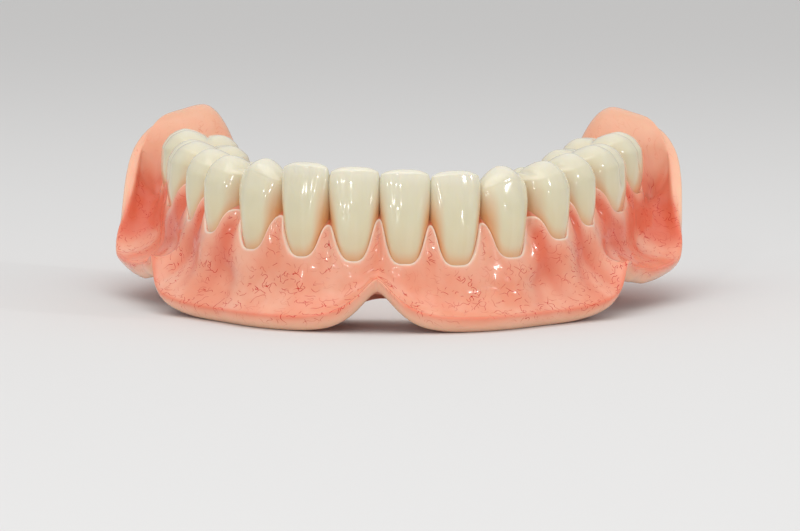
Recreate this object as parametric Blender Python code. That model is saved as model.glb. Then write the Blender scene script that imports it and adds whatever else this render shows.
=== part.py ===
"""A lower full denture, in metres with +Z up.

The acrylic base is a horseshoe lofted along the dental arch. Its underside is the channel that sits on
the jaw ridge, its outer wall is notched for the lip and cheek folds, and its two heels climb over the
pads behind the last molars. Fourteen separate teeth stand in sockets cut from the base.
The wearer's left is +X, the tongue's side is +Y, and the denture stands on its own rims at Z = 0.
"""

import math
from typing import NamedTuple

import bpy
import numpy as np

# Dental arch: the line through the incisal edges and the middle of the back teeth.
ARCH_HALF_WIDTH = 0.0238
ARCH_LENGTH = 0.0385
ARCH_POWER = 3.4
INCISAL_HEIGHT = 0.0173
MOLAR_RISE = 0.0022

# Fits between the separate pieces.
CONTACT_GAP = 0.00012
SOCKET_CLEARANCE = 0.0003
TOOTH_EMBED = 0.0013
SOCKET_FLOOR = 0.0011

# Gum form around the necks of the teeth.
GUM_COLLAR = 0.00075
GUM_BULGE = 0.0005
MARGIN_DEPTH = 0.0015
PAPILLA_RISE = 0.0032
PAPILLA_POWER = 2.8
PAPILLA_RECESS = 0.0009
INNER_PAPILLA_SHARE = 0.6
COL_SHARE = 0.3
MARGIN_ROUNDING = 0.0002
MARGIN_LIP = 0.0011
MARGIN_LIP_SHARE = 0.4
ROOT_EMINENCE = 0.0008
RIDGE_ROUNDING = 0.0006

# Rims, notches and heels of the base.
RIM_RADIUS = 0.0013
RIM_BACK = 0.0014
RIM_INSIDE_BACK = 0.0010
RIM_INSIDE_OUT = 0.0012
FLANGE_WALL = 0.0017
FLANGE_LOW_SHARE = 0.30
FLANGE_HIGH_SHARE = 0.66
LOW_HOLLOW_SHARE = 0.8
LIP_NOTCH_HEIGHT = 0.0044
LIP_NOTCH_HALF_WIDTH = 0.0029
CHEEK_NOTCH_HEIGHT = 0.0021
CHEEK_NOTCH_HALF_WIDTH = 0.0016
CHEEK_NOTCH_PLACE = 4.57
TONGUE_NOTCH_HEIGHT = 0.0012
TONGUE_NOTCH_HALF_WIDTH = 0.0034
HEEL_LENGTH = 0.0088
HEEL_TOP = 0.0216
HEEL_THICKNESS = 0.0026
HEEL_ROUNDING = 0.0016
HEEL_EDGE_SHARE = 0.4
HEEL_TIP_LENGTH = 0.0040
HEEL_TIP_SHARE = 0.3
HEEL_CLIMB_POWER = 3.5
HEEL_OUTER_POWER = 0.8  # how sharply the mound over the heel rises from its outer rim, and from its inner one
HEEL_INNER_POWER = 2.0
HEEL_BLEND = (-0.0006, 0.0022)  # distances behind the last tooth between which the mound comes in
OUTER_RIM_TILT = 80
INNER_RIM_TILT = 45
OUTER_RIM_TURN = (5.9, 7.0)  # places between which the outer rim leans over by its tilt
INNER_RIM_TURN = (7.2, 8.0)
MOLAR_RIM_SLIMMING = 0.45
MOLAR_SLIMMING = (5.9, 6.7)  # places between which the outer wall grows thinner beside the last molar
RIDGE_SHIFT = 0.25
NECK_BLEND_POWER = 2.5

# Fineness of the meshes.
ARCH_STEPS = 900
SECTIONS_PER_TOOTH = 6
SECTIONS_LAST_TOOTH = 10
SECTIONS_PER_HEEL = 11
TOOTH_SEGMENTS = 18


class Form(NamedTuple):
    """A family of crowns: its outline at LEVELS, as shares of the tooth's own sizes, and its cusps."""

    wide: tuple
    front: tuple
    back: tuple
    squareness: tuple
    tongue_taper: float
    cusps: tuple
    incline: float


class Cusp(NamedTuple):
    """A high point of the crown: where it stands, as shares of the half sizes, and how low it starts."""

    along: float
    across: float
    drop: float


class Tooth(NamedTuple):
    name: str
    form: Form
    width: float
    front: float
    back: float
    crown: float
    lean: float


class Setting(NamedTuple):
    """How one side's tooth departs from the even arch: up, and turned about its own length."""

    rise: float
    turn: float


# Heights on a crown, as shares from the gum line to the tip.
LEVELS = (-0.16, 0.0, 0.30, 0.60, 0.84, 0.965, 1.0)
CUSP_RADIUS = 0.0006
CUSP_BLEND = 0.00011

# Where the rings of a crown's mesh lie: up its side, then inward over its top and its seat.
RING_LEVELS = (0.0, 0.18, 0.38, 0.58, 0.76, 0.90, 0.975, 1.0)
TOP_SHARES = (0.72, 0.40)
SEAT_SHARE = 0.6

INCISOR = Form(
    wide=(0.60, 0.67, 0.82, 0.94, 1.00, 0.975, 0.90),
    front=(0.72, 0.86, 1.00, 0.86, 0.60, 0.46, 0.30),
    back=(0.88, 1.00, 0.84, 0.54, 0.30, 0.22, 0.15),
    squareness=(2.2, 2.2, 2.3, 2.6, 3.2, 3.6, 3.6),
    tongue_taper=0.22,
    cusps=(Cusp(-0.55, 0.0, 0.0), Cusp(0.0, 0.0, 0.0), Cusp(0.50, 0.0, 0.00006)),
    incline=13,
)
CANINE = Form(
    wide=(0.62, 0.69, 0.84, 0.96, 1.00, 0.86, 0.72),
    front=(0.72, 0.86, 1.00, 0.90, 0.64, 0.42, 0.28),
    back=(0.88, 1.00, 0.88, 0.62, 0.38, 0.24, 0.16),
    squareness=(2.2, 2.2, 2.2, 2.3, 2.5, 2.6, 2.6),
    tongue_taper=0.26,
    cusps=(Cusp(0.16, 0.0, 0.0),),
    incline=36,
)
PREMOLAR = Form(
    wide=(0.66, 0.74, 0.88, 0.99, 0.97, 0.78, 0.62),
    front=(0.74, 0.86, 0.98, 1.00, 0.88, 0.64, 0.50),
    back=(0.76, 0.88, 0.98, 1.00, 0.90, 0.70, 0.56),
    squareness=(2.2, 2.2, 2.3, 2.4, 2.4, 2.4, 2.4),
    tongue_taper=0.16,
    cusps=(Cusp(-0.03, 0.95, 0.0), Cusp(-0.10, -0.95, 0.0008)),
    incline=28,
)
MOLAR = Form(
    wide=(0.80, 0.86, 0.94, 1.00, 0.97, 0.84, 0.72),
    front=(0.78, 0.88, 0.98, 1.00, 0.88, 0.66, 0.54),
    back=(0.78, 0.88, 0.98, 1.00, 0.90, 0.70, 0.58),
    squareness=(2.4, 2.5, 2.7, 2.9, 2.9, 2.8, 2.8),
    tongue_taper=0.06,
    cusps=(
        Cusp(-0.62, 0.92, 0.0),
        Cusp(0.34, 0.95, 0.0001),
        Cusp(-0.56, -0.92, 0.0002),
        Cusp(0.52, -0.92, 0.0004),
    ),
    incline=25,
)

# The teeth of one side, from the midline back. Lean is in degrees, positive where the tip stands forward.
TEETH = (
    Tooth("central_incisor", INCISOR, 0.0054, 0.0024, 0.0036, 0.0101, 6),
    Tooth("lateral_incisor", INCISOR, 0.0057, 0.0025, 0.0037, 0.0101, 5),
    Tooth("canine", CANINE, 0.0066, 0.0031, 0.0040, 0.0098, 3),
    Tooth("first_premolar", PREMOLAR, 0.0070, 0.0038, 0.0036, 0.0086, -2),
    Tooth("second_premolar", PREMOLAR, 0.0071, 0.0040, 0.0038, 0.0081, -4),
    Tooth("first_molar", MOLAR, 0.0107, 0.0049, 0.0047, 0.0078, -6),
    Tooth("second_molar", MOLAR, 0.0100, 0.0048, 0.0046, 0.0072, -7),
)

# The small irregularities that the setter gave each side, from the midline back.
SETTINGS = {
    "right": (
        Setting(0.00012, 2),
        Setting(0.00040, -3),
        Setting(0.00035, 6),
        Setting(0.00020, 2),
        Setting(0.00010, 0),
        Setting(0.00005, 0),
        Setting(0.0, 0),
    ),
    "left": (
        Setting(-0.00012, -1),
        Setting(-0.00040, 2),
        Setting(-0.00025, -3),
        Setting(-0.00015, 0),
        Setting(-0.00010, 0),
        Setting(-0.00005, 0),
        Setting(0.0, 0),
    ),
}
SIDE_SIGN = {"right": -1, "left": 1}


class Station(NamedTuple):
    """One section of the base. Reaches are from the tooth line, and heights are above the floor."""

    place: float  # 1 is the far side of the first tooth, 7 of the last, 8 the end of the heel
    outer_reach: float
    outer_rim: float
    outer_hollow: float
    inner_reach: float
    inner_rim: float
    inner_hollow: float
    ridge_half_width: float


STATIONS = (
    Station(0.0, 0.0030, 0.0000, 0.0006, 0.0060, 0.0014, 0.0004, 0.0020),
    Station(1.5, 0.0031, 0.0000, 0.0006, 0.0062, 0.0013, 0.0006, 0.0020),
    Station(2.6, 0.0035, 0.0000, 0.0007, 0.0068, 0.0012, 0.0008, 0.0021),
    Station(3.3, 0.0050, 0.0001, 0.0008, 0.0072, 0.0011, 0.0009, 0.0023),
    Station(4.0, 0.0070, 0.0011, 0.0010, 0.0076, 0.0009, 0.0010, 0.0026),
    Station(4.6, 0.0070, 0.0025, 0.0011, 0.0078, 0.0007, 0.0011, 0.0028),
    Station(5.0, 0.0074, 0.0032, 0.0012, 0.0079, 0.0005, 0.0012, 0.0029),
    Station(5.3, 0.0082, 0.0028, 0.0014, 0.0080, 0.0004, 0.0012, 0.0030),
    Station(5.9, 0.0094, 0.0033, 0.0018, 0.0082, 0.0001, 0.0012, 0.0031),
    Station(6.4, 0.0101, 0.0065, 0.0015, 0.0082, 0.0000, 0.0012, 0.0032),
    Station(6.8, 0.0096, 0.0112, 0.0008, 0.0079, 0.0006, 0.0011, 0.0032),
    Station(7.2, 0.0080, 0.0157, 0.0003, 0.0062, 0.0045, 0.0009, 0.0028),
    Station(7.6, 0.0049, 0.0188, 0.0000, 0.0046, 0.0115, 0.0005, 0.0018),
    Station(8.0, 0.0018, 0.0192, 0.0000, 0.0030, 0.0162, 0.0000, 0.0008),
)

# How many mesh points follow each control point of a section, over the top and back underneath.
OVER_COUNTS = (1, 2, 2, 1, 1, 1, 1, 1, 1, 1, 1, 2, 2, 1, 1)
UNDER_COUNTS = (2, 1, 1, 2, 1)
# The point of the upper skin that each point of the lower skin lies under, rim to rim.
FACING = (14, 13, 10, 7, 4, 1, 0)


def smooth_curve(places, values, at):
    """A smooth curve through (places, values) that never overshoots them, read at the places in at."""
    places, values, at = (np.asarray(a, float) for a in (places, values, at))
    steps = np.diff(places)
    slopes = np.diff(values) / steps
    before, after = slopes[:-1], slopes[1:]
    same_way = before * after > 0
    total = np.where(same_way, before + after, 1.0)
    inner = np.where(same_way, 2 * before * after / total, 0.0)
    tangents = np.concatenate([[slopes[0]], inner, [slopes[-1]]])
    k = np.clip(np.searchsorted(places, at) - 1, 0, len(steps) - 1)
    t = np.clip((at - places[k]) / steps[k], 0, 1)
    return (
        values[k] * (1 + 2 * t) * (1 - t) ** 2
        + tangents[k] * steps[k] * t * (1 - t) ** 2
        + values[k + 1] * t**2 * (3 - 2 * t)
        + tangents[k + 1] * steps[k] * t**2 * (t - 1)
    )


def bump(distance, half_width, power=1.5):
    """A smooth peak of height 1 at distance 0."""
    return np.exp(-np.abs(distance / half_width) ** power)


def step_up(value, low, high):
    """0 below low, 1 above high, and smooth between them."""
    t = np.clip((value - low) / (high - low), 0, 1)
    return t * t * (3 - 2 * t)


class Arch:
    """The tooth line in plan, measured by the distance along it from the midline."""

    def __init__(self):
        beyond_heels = ARCH_HALF_WIDTH * 1.3
        self.x = np.linspace(0, beyond_heels, ARCH_STEPS)
        self.y = ARCH_LENGTH * (self.x / ARCH_HALF_WIDTH) ** ARCH_POWER
        steps = np.hypot(np.diff(self.x), np.diff(self.y))
        self.along = np.concatenate([[0], np.cumsum(steps)])
        widths = [tooth.width for tooth in TEETH]
        self.bounds = np.concatenate([[0], np.cumsum(widths)])
        self.end = self.bounds[-1] + HEEL_LENGTH
        self.marks = np.append(self.bounds, self.end)

    def point(self, along):
        """Plan points at signed distances along the arch, positive on the wearer's left."""
        far = np.abs(along)
        x = np.interp(far, self.along, self.x) * np.sign(along)
        return np.stack([x, np.interp(far, self.along, self.y)], axis=-1)

    def outward(self, along):
        """Unit vectors in plan that point away from the tongue."""
        step = 0.0002
        ahead = self.point(np.asarray(along) + step) - self.point(np.asarray(along) - step)
        ahead /= np.linalg.norm(ahead, axis=-1, keepdims=True)
        return np.stack([ahead[..., 1], -ahead[..., 0]], axis=-1)

    def place(self, along):
        """Distance along the arch as a count of teeth from the midline; the heel ends at 8."""
        return np.interp(np.abs(along), self.marks, np.arange(len(self.marks)))


ARCH = Arch()


def occlusal_height(along):
    """Height of the biting line, which rises towards the last molar."""
    share = np.clip(np.abs(along) / ARCH.bounds[-1], 0, 1)
    return INCISAL_HEIGHT + MOLAR_RISE * share**1.6


class Seat(NamedTuple):
    """Where one tooth stands: the point under its tip on the tooth line, and how it is turned."""

    tooth: Tooth
    side: str
    x: float
    y: float
    tip: float
    heading: float
    width: float
    neck: float
    outer_neck: float
    inner_neck: float


def seat_of(index, side):
    tooth, setting, sign = TEETH[index], SETTINGS[side][index], SIDE_SIGN[side]
    near, far = ARCH.point(sign * ARCH.bounds[index : index + 2])
    middle, chord = (near + far) / 2, (far - near) * sign
    centre_line = ARCH.point(sign * (ARCH.bounds[index] + ARCH.bounds[index + 1]) / 2)
    inset = float(np.linalg.norm(centre_line - middle))
    tip = float(occlusal_height(ARCH.bounds[index] + tooth.width / 2)) + setting.rise
    lean = math.radians(tooth.lean)
    slip = -tooth.crown * math.sin(lean) - inset
    front = tooth.front * tooth.form.front[1]
    back = tooth.back * tooth.form.back[1]
    return Seat(
        tooth=tooth,
        side=side,
        x=float(middle[0]),
        y=float(middle[1]),
        tip=tip,
        heading=math.atan2(chord[1], chord[0]) + math.radians(setting.turn),
        width=float(np.linalg.norm(chord)) - CONTACT_GAP,
        neck=tip - tooth.crown * math.cos(lean),
        outer_neck=slip + front,
        inner_neck=slip - back,
    )


SEATS = {side: [seat_of(i, side) for i in range(len(TEETH))] for side in SIDE_SIGN}


def relief(tooth, along, across):
    """How far the biting surface lies below the tip, at shares of the crown's half sizes."""
    form = tooth.form
    half = tooth.width / 2
    reach = np.where(across > 0, tooth.front * form.front[-1], tooth.back * form.back[-1])
    slope = math.tan(math.radians(form.incline))
    heights = []
    for cusp in form.cusps:
        du = (along - cusp.along * form.wide[-1]) * half
        cusp_reach = tooth.front * form.front[-1] if cusp.across > 0 else tooth.back * form.back[-1]
        dw = across * reach - cusp.across * cusp_reach
        away = np.sqrt(du**2 + dw**2 + CUSP_RADIUS**2) - CUSP_RADIUS
        heights.append(-cusp.drop - slope * away)
    return np.log(sum(np.exp(h / CUSP_BLEND) for h in heights)) * CUSP_BLEND


def tooth_rings(tooth, width, grow, segments):
    """The crown as rings of points from its seat to its tip, with grow added to it all round.

    The tooth's own axes are u away from the midline, w outward and z up from the gum line.
    """
    form = tooth.form
    angles = (np.arange(segments) + 0.5) * 2 * math.pi / segments
    lift = tooth.crown
    bottom = -TOOTH_EMBED - grow
    rings = []

    def ring(level, share, height):
        def at(values):
            return smooth_curve(LEVELS, values, level)

        power = 2 / at(form.squareness)
        cos, sin = np.cos(angles), np.sin(angles)
        u = np.sign(cos) * np.abs(cos) ** power
        w = np.sign(sin) * np.abs(sin) ** power
        u = u * (1 - form.tongue_taper * np.clip(-w, 0, 1))
        half = width / 2 * at(form.wide)
        reach = np.where(w > 0, tooth.front * at(form.front), tooth.back * at(form.back))
        u_share, w_share = u * share * at(form.wide), w * share
        ease = step_up(np.full(segments, level), 0.55, 1.0)
        drop = relief(tooth, u_share, w_share) * ease
        return np.stack(
            [u * (half + grow) * share, w * (reach + grow) * share, height + drop], axis=-1
        )

    for share in (SEAT_SHARE, 1.0):
        rings.append(ring(bottom / lift, share, bottom))
    for level in RING_LEVELS:
        rings.append(ring(level, 1.0, level * lift + (grow if level == 1.0 else 0.0)))
    for share in TOP_SHARES:
        rings.append(ring(1.0, share, lift + grow))
    return rings


def closed_loft(name, rings, close_ends):
    """A mesh through rings of points, each ring closed, with the two ends capped."""
    count = len(rings[0])
    points = [tuple(p) for ring in rings for p in ring]
    faces = []
    for row in range(len(rings) - 1):
        for k in range(count):
            a, b = row * count + k, row * count + (k + 1) % count
            faces.append((a, b, b + count, a + count))
    last = (len(rings) - 1) * count
    if close_ends == "fan":
        for start, flip in ((0, True), (last, False)):
            points.append(tuple(np.mean(points[start : start + count], axis=0)))
            for k in range(count):
                a, b = start + k, start + (k + 1) % count
                faces.append((b, a, len(points) - 1) if flip else (a, b, len(points) - 1))
    else:
        faces.append(tuple(reversed(range(count))))
        faces.append(tuple(range(last, last + count)))
    mesh = bpy.data.meshes.new(name)
    mesh.from_pydata(points, [], faces)
    mesh.validate()
    mesh.update()
    return mesh


def tooth_object(seat, name, grow=0.0):
    """The tooth's mesh in its own axes, stood on its seat in the arch."""
    rings = tooth_rings(seat.tooth, seat.width, grow, TOOTH_SEGMENTS)
    sign = SIDE_SIGN[seat.side]
    placed = []
    for ring in rings:
        ring = ring.copy()
        ring[:, 0] *= sign
        ring[:, 1] *= -1
        ring[:, 2] -= seat.tooth.crown
        placed.append(ring if sign < 0 else ring[::-1])
    mesh = closed_loft(name, placed, "fan")
    mesh.shade_smooth()
    obj = bpy.data.objects.new(name, mesh)
    bpy.context.scene.collection.objects.link(obj)
    obj.location = (seat.x, seat.y, seat.tip)
    obj.rotation_mode = "ZYX"
    obj.rotation_euler = (math.radians(seat.tooth.lean), 0, seat.heading)
    return obj


def tooth_line_values(along):
    """Reach and height of the gum's outer and inner edges at distances along the arch."""
    place = ARCH.place(along)
    values = {key: np.zeros_like(along) for key in ("outer", "inner", "neck", "rise")}
    for side, other in (("right", "left"), ("left", "right")):
        seats = SEATS[side]
        mine = (along < 0) if side == "right" else (along >= 0)
        for i, seat in enumerate(seats):
            near = seats[i - 1] if i else SEATS[other][0]
            far = seats[min(i + 1, len(seats) - 1)]
            last = i + 1 == len(seats)
            here = mine & (place >= i) & ((place < i + 1) | last)
            t = np.clip((place[here] - i) * 2 - 1, -1, 1)
            beside = np.abs(t) ** NECK_BLEND_POWER

            def towards_neighbours(read):
                other_value = np.where(t < 0, read(near), read(far))
                return read(seat) + (other_value - read(seat)) / 2 * beside

            recess = PAPILLA_RECESS * beside
            values["outer"][here] = towards_neighbours(lambda s: s.outer_neck) - recess
            values["inner"][here] = towards_neighbours(lambda s: s.inner_neck) + recess
            values["neck"][here] = towards_neighbours(lambda s: s.neck)
            values["rise"][here] = PAPILLA_RISE * np.abs(t) ** PAPILLA_POWER
    return values


def through(points, counts):
    """Closed smooth curves through the points of each section, shaped (sections, points, 2)."""
    total = points.shape[1]
    pieces = []
    for k in range(total):
        p = [points[:, (k + j) % total] for j in (-1, 0, 1, 2)]
        gaps = [np.sqrt(np.linalg.norm(p[j + 1] - p[j], axis=1)) + 1e-6 for j in range(3)]
        t0 = np.zeros(len(points))
        t1 = t0 + gaps[0]
        t2 = t1 + gaps[1]
        t3 = t2 + gaps[2]
        for step in range(counts[k]):
            t = (t1 + (t2 - t1) * step / counts[k])[:, None]
            k0, k1, k2, k3 = (v[:, None] for v in (t0, t1, t2, t3))
            a1 = (k1 - t) / (k1 - k0) * p[0] + (t - k0) / (k1 - k0) * p[1]
            a2 = (k2 - t) / (k2 - k1) * p[1] + (t - k1) / (k2 - k1) * p[2]
            a3 = (k3 - t) / (k3 - k2) * p[2] + (t - k2) / (k3 - k2) * p[3]
            b1 = (k2 - t) / (k2 - k0) * a1 + (t - k0) / (k2 - k0) * a2
            b2 = (k3 - t) / (k3 - k1) * a2 + (t - k1) / (k3 - k1) * a3
            pieces.append((k2 - t) / (k2 - k1) * b1 + (t - k1) / (k2 - k1) * b2)
    return np.stack(pieces, axis=1)


def station_values(along):
    """Every column of STATIONS, read smoothly at distances along the arch."""
    places = [-s.place for s in reversed(STATIONS[1:])] + [s.place for s in STATIONS]
    at = ARCH.place(along)
    columns = {}
    for column in Station._fields[1:]:
        values = [getattr(s, column) for s in STATIONS]
        columns[column] = smooth_curve(places, values[:0:-1] + values, at)
    return columns


def section_points(along):
    """The control points of the base's sections, outer rim first, over the top and back underneath."""
    v = station_values(along)
    gum = tooth_line_values(along)
    far = np.abs(along)
    place = ARCH.place(along)
    cheek = np.interp(CHEEK_NOTCH_PLACE, np.arange(len(ARCH.marks)), ARCH.marks)
    outer_rim = (
        v["outer_rim"]
        + LIP_NOTCH_HEIGHT * bump(far, LIP_NOTCH_HALF_WIDTH)
        + CHEEK_NOTCH_HEIGHT * bump(far - cheek, CHEEK_NOTCH_HALF_WIDTH, 2)
    )
    inner_rim = v["inner_rim"] + TONGUE_NOTCH_HEIGHT * bump(far, TONGUE_NOTCH_HALF_WIDTH, 2)
    behind = step_up(place, *MOLAR_SLIMMING)
    tilt_out = math.radians(OUTER_RIM_TILT) * step_up(place, *OUTER_RIM_TURN)
    tilt_in = math.radians(INNER_RIM_TILT) * step_up(place, *INNER_RIM_TURN)

    def beside_rim(n, z, tilt, side, back, out):
        """A point that lies back from the rim's edge and out from the middle of its thickness."""
        return (
            n - side * (np.sin(tilt) * back - np.cos(tilt) * out),
            z + np.cos(tilt) * back + np.sin(tilt) * out,
        )

    rim_out, rim_in = v["outer_reach"], -v["inner_reach"]
    slimmer = RIM_RADIUS * (1 - MOLAR_RIM_SLIMMING * behind)
    low_out = beside_rim(rim_out, outer_rim, tilt_out, 1, RIM_BACK, slimmer)
    low_in = beside_rim(rim_in, inner_rim, tilt_in, -1, RIM_BACK, RIM_RADIUS)

    t = np.clip((place % 1.0) * 2 - 1, -1, 1)
    root = ROOT_EMINENCE * (0.5 - np.abs(t) ** 2)
    outer, inner = gum["outer"] + GUM_COLLAR, gum["inner"] - GUM_COLLAR
    outer_z = gum["neck"] + gum["rise"]
    inner_z = gum["neck"] + gum["rise"] * INNER_PAPILLA_SHARE
    col_z = gum["neck"] + gum["rise"] * COL_SHARE
    below_out = (outer + GUM_BULGE + root * 0.5, outer_z - MARGIN_DEPTH)
    below_in = (inner - GUM_BULGE - root * 0.5, inner_z - MARGIN_DEPTH)

    def flange(low, high, share, hollow, side):
        """A point of the wall between the rim and the gum edge, hollowed square to the line between them."""
        dn, dz = high[0] - low[0], high[1] - low[1]
        length = np.hypot(dn, dz) + 1e-6
        n = low[0] + dn * share - side * dz / length * hollow + side * root * share
        return n, low[1] + dz * share + side * dn / length * hollow

    def dome(share):
        """A point of the mound over the heel, from the outer rim, share 0, to the inner one, share 1."""
        angle = math.pi * share
        middle, half = (low_out[0] + low_in[0]) / 2, (low_out[0] - low_in[0]) / 2
        side_z = low_out[1] + (low_in[1] - low_out[1]) * (1 - math.cos(angle)) / 2
        power = HEEL_OUTER_POWER + (HEEL_INNER_POWER - HEEL_OUTER_POWER) * share
        return middle + half * math.cos(angle), side_z + (top - side_z) * math.sin(angle) ** power

    over = [
        (rim_out, outer_rim),
        low_out,
        flange(low_out, below_out, FLANGE_LOW_SHARE, LOW_HOLLOW_SHARE * v["outer_hollow"], 1),
        flange(low_out, below_out, FLANGE_HIGH_SHARE, v["outer_hollow"], 1),
        below_out,
        (outer - MARGIN_ROUNDING, outer_z),
        (outer - MARGIN_LIP, col_z + (outer_z - col_z) * MARGIN_LIP_SHARE + MARGIN_ROUNDING),
        ((outer + inner) / 2, col_z),
        (inner + MARGIN_LIP, col_z + (inner_z - col_z) * MARGIN_LIP_SHARE + MARGIN_ROUNDING),
        (inner + MARGIN_ROUNDING, inner_z),
        below_in,
        flange(low_in, below_in, FLANGE_HIGH_SHARE, v["inner_hollow"], -1),
        flange(low_in, below_in, FLANGE_LOW_SHARE, LOW_HOLLOW_SHARE * v["inner_hollow"], -1),
        low_in,
        (rim_in, inner_rim),
    ]
    end = np.clip((ARCH.end - far) / HEEL_LENGTH, 0, 1)
    top = HEEL_TOP - (HEEL_TOP - gum["neck"]) * end**HEEL_CLIMB_POWER
    heel = step_up(far - ARCH.bounds[-1], *HEEL_BLEND)
    first, last = 1, len(over) - 2
    for k in range(first + 1, last):
        n, z = dome((k - first) / (last - first))
        over[k] = (over[k][0] * (1 - heel) + n * heel, over[k][1] * (1 - heel) + z * heel)

    cover = SOCKET_FLOOR + SOCKET_CLEARANCE + TOOTH_EMBED
    crest = (gum["neck"] - cover) * (1 - heel) + (top - HEEL_THICKNESS) * heel
    inside_out = beside_rim(rim_out, outer_rim, tilt_out, 1, RIM_INSIDE_BACK, -RIM_INSIDE_OUT)
    inside_in = beside_rim(rim_in, inner_rim, tilt_in, -1, RIM_INSIDE_BACK, -RIM_INSIDE_OUT)
    ridge, shoulder = v["ridge_half_width"], crest - RIDGE_ROUNDING
    shift = (rim_out + rim_in) * RIDGE_SHIFT
    roof = shoulder * (1 - behind) + (over[2][1] - FLANGE_WALL) * behind
    under = [
        (inside_in[0], np.minimum(inside_in[1], shoulder)),
        (shift - ridge, shoulder),
        (shift, crest),
        (shift + ridge, shoulder),
        (inside_out[0], np.minimum(inside_out[1], roof)),
    ]
    over, under = (np.stack([np.stack(p, axis=-1) for p in part], axis=1) for part in (over, under))
    return over, under


def rounded_at_heels(over, under, along):
    """Narrows the last stretch of each heel to a round tip, and draws its two skins together there."""

    def round_off(length, least):
        left = np.clip((ARCH.end - np.abs(along)) / length, 0, 1)
        return np.sqrt(1 - (1 - left) ** 2).clip(least, 1)[:, None, None]

    narrow = round_off(HEEL_TIP_LENGTH, HEEL_TIP_SHARE)
    core = (over[:, over.shape[1] // 2] + under[:, under.shape[1] // 2])[:, None] / 2
    over, under = core + (over - core) * narrow, core + (under - core) * narrow
    keep = round_off(HEEL_ROUNDING, HEEL_EDGE_SHARE)
    faced = np.array(FACING)
    lower = np.concatenate([over[:, -1:], under, over[:, :1]], axis=1)[:, ::-1]
    places = np.arange(over.shape[1])
    k = np.clip(np.searchsorted(faced[::-1], places, side="right") - 1, 0, len(faced) - 2)
    low, high = faced[::-1][k], faced[::-1][k + 1]
    part = ((places - low) / (high - low))[None, :, None]
    opposite = lower[:, k] * (1 - part) + lower[:, k + 1] * part
    middle = (over + opposite) / 2
    under_middle = (under + over[:, faced[1:-1]]) / 2
    return middle + (over - middle) * keep, under_middle + (under - under_middle) * keep


def section_places():
    """Distances along the arch at which the base has a section, right heel to left heel."""
    counts = [SECTIONS_PER_TOOTH] * (len(TEETH) - 1) + [SECTIONS_LAST_TOOTH]
    pairs = zip(ARCH.bounds[:-1], ARCH.bounds[1:], counts)
    teeth = [np.linspace(near, far, count, endpoint=False) for near, far, count in pairs]
    heel = 1 - (1 - np.linspace(0, 1, SECTIONS_PER_HEEL)) ** 1.5
    half = np.concatenate([*teeth, ARCH.bounds[-1] + heel * HEEL_LENGTH])
    return np.concatenate([-half[:0:-1], half])


def base_object():
    along = section_places()
    over, under = section_points(along)
    over, under = rounded_at_heels(over, under, along)
    loops = through(np.concatenate([over, under], axis=1), OVER_COUNTS + UNDER_COUNTS)
    centres, outward = ARCH.point(along), ARCH.outward(along)
    plan = centres[:, None] + outward[:, None] * loops[..., :1]
    rings = np.concatenate([plan, loops[..., 1:].clip(0, None)], axis=-1)
    mesh = closed_loft("denture_base", list(rings), "flat")
    obj = bpy.data.objects.new("denture_base", mesh)
    bpy.context.scene.collection.objects.link(obj)
    return obj


def cut_socket(base, seat):
    """Cuts the seat of one tooth from the base, SOCKET_CLEARANCE wider than the tooth."""
    cutter = tooth_object(seat, f"socket_{seat.tooth.name}_{seat.side}", SOCKET_CLEARANCE)
    cutter.hide_render = True
    cutter.display_type = "WIRE"
    cut = base.modifiers.new(cutter.name, "BOOLEAN")
    cut.operation = "DIFFERENCE"
    cut.object = cutter


def material(name, colour, roughness):
    made = bpy.data.materials.new(name)
    made.use_nodes = True
    shader = made.node_tree.nodes["Principled BSDF"]
    shader.inputs["Base Color"].default_value = (*colour, 1)
    shader.inputs["Roughness"].default_value = roughness
    shader.inputs["Metallic"].default_value = 0
    return made


def stand_on_floor(objects):
    """Moves everything so that the origin is the middle of the denture's footprint, on the floor."""
    bpy.context.view_layer.update()
    corners = [o.matrix_world @ v.co for o in objects for v in o.data.vertices]
    low = [min(c[i] for c in corners) for i in range(3)]
    high = [max(c[i] for c in corners) for i in range(3)]
    for o in bpy.context.scene.objects:
        o.location.x -= (low[0] + high[0]) / 2
        o.location.y -= (low[1] + high[1]) / 2
        o.location.z -= low[2]


def main():
    for old in list(bpy.data.objects):
        bpy.data.objects.remove(old)
    pink = material("pink_acrylic", (0.80, 0.27, 0.17), 0.18)
    shade = material("tooth_acrylic", (0.68, 0.62, 0.42), 0.16)
    base = base_object()
    base.data.materials.append(pink)
    made = [base]
    for side, seats in SEATS.items():
        for seat in seats:
            tooth = tooth_object(seat, f"{seat.tooth.name}_{side}")
            tooth.data.materials.append(shade)
            made.append(tooth)
            cut_socket(base, seat)
    base.data.shade_smooth()
    stand_on_floor(made)


main()
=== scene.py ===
"""The looks of a lower full denture: polished pink acrylic and cream acrylic teeth in a soft studio.

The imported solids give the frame. One fine base stands for the CAD base, lofted along the same dental arch,
and fourteen fine crowns stand for the CAD teeth. Everything is in metres, with +Z up and the wearer's left
at +X, as in the frame.
"""

import math
from typing import NamedTuple

import bpy
import numpy as np
from mathutils import Matrix, Vector

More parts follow.
